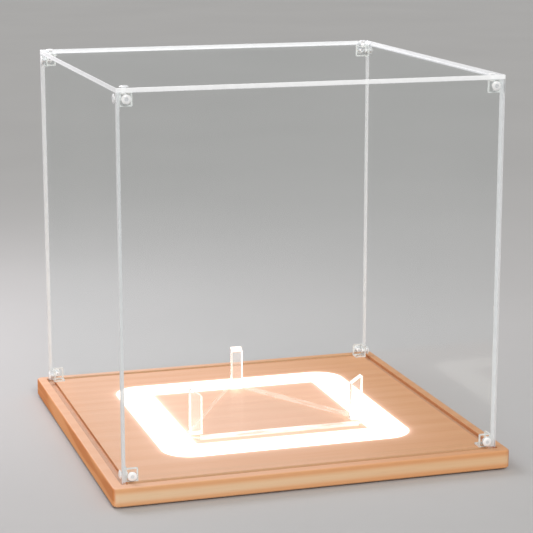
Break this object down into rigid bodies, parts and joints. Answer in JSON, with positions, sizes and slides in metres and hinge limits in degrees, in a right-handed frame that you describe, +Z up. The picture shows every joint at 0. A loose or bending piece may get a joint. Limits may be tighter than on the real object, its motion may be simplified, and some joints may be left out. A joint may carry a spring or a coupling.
{
  "type": "ball display case",
  "caption": "Wooden base with a glowing square ring, a clear lift-off cover with riveted corners, and a clear three-post stand for one full-size ball.",
  "frame": {"origin": "on the table under the middle of the base, at the bottom of the feet", "axes": "+Z up, +Y to the rear edge with the power inlet, +X to the right"},
  "size_m": [0.299, 0.299, 0.2924],
  "materials": {
    "wood": "satin",
    "opal": "opal",
    "strip": "satin",
    "led": "gloss",
    "component": "matte",
    "insulation_red": "satin",
    "insulation_black": "satin",
    "circuit_board": "satin",
    "can": "satin",
    "steel": "satin",
    "contact": "satin",
    "white_plastic": "satin",
    "black_plastic": "matte",
    "acrylic": "polished",
    "stand_acrylic": "polished",
    "bracket": "gloss",
    "nylon": "satin",
    "silicone": "matte"
  },
  "bodies": {
    "base": {"base_board": "wood", "bottom_cover": "black_plastic", "capacitor": "can", "corner_jumpers": "insulation_black", "cover_screws": "steel", "dimmer_chip": "component", "driver_board": "circuit_board", "driver_screws": "steel", "foot_back_left": "silicone", "foot_back_right": "silicone", "foot_front_left": "silicone", "foot_front_right": "silicone", "lead_negative": "insulation_black", "lead_positive": "insulation_red", "led_chips": "led", "led_diffuser": "opal", "led_resistors": "component", "led_strips": "strip", "socket_shell": "steel", "socket_tongue": "contact", "switch_body": "component", "switch_dome": "steel"},
    "stand": {"stand_plate": "stand_acrylic", "stand_post_back": "stand_acrylic", "stand_post_left": "stand_acrylic", "stand_post_right": "stand_acrylic"},
    "cover": {"back_panel": "acrylic", "bottom_bracket_back_left": "bracket", "bottom_bracket_back_right": "bracket", "bottom_bracket_front_left": "bracket", "bottom_bracket_front_right": "bracket", "bottom_rivet_bodies": "nylon", "bottom_rivet_pins": "nylon", "front_panel": "acrylic", "left_panel": "acrylic", "right_panel": "acrylic", "top_bracket_back_left": "bracket", "top_bracket_back_right": "bracket", "top_bracket_front_left": "bracket", "top_bracket_front_right": "bracket", "top_panel": "acrylic", "top_rivet_bodies": "nylon", "top_rivet_pins": "nylon"},
    "power_button": {"power_button": "white_plastic", "switch_plunger": "white_plastic"}
  },
  "joints": [
    {"name": "cover_lift", "type": "slide", "parent": "base", "child": "cover", "axis": [0, 0, 1], "range_m": [0, 0.3]},
    {"name": "stand_lift", "type": "slide", "parent": "base", "child": "stand", "axis": [0, 0, 1], "range_m": [0, 0.2]},
    {"name": "power_press", "type": "slide", "parent": "base", "child": "power_button", "axis": [0, -1, 0], "range_m": [0, 0.0006], "stiffness_N_per_m": 2000}
  ]
}
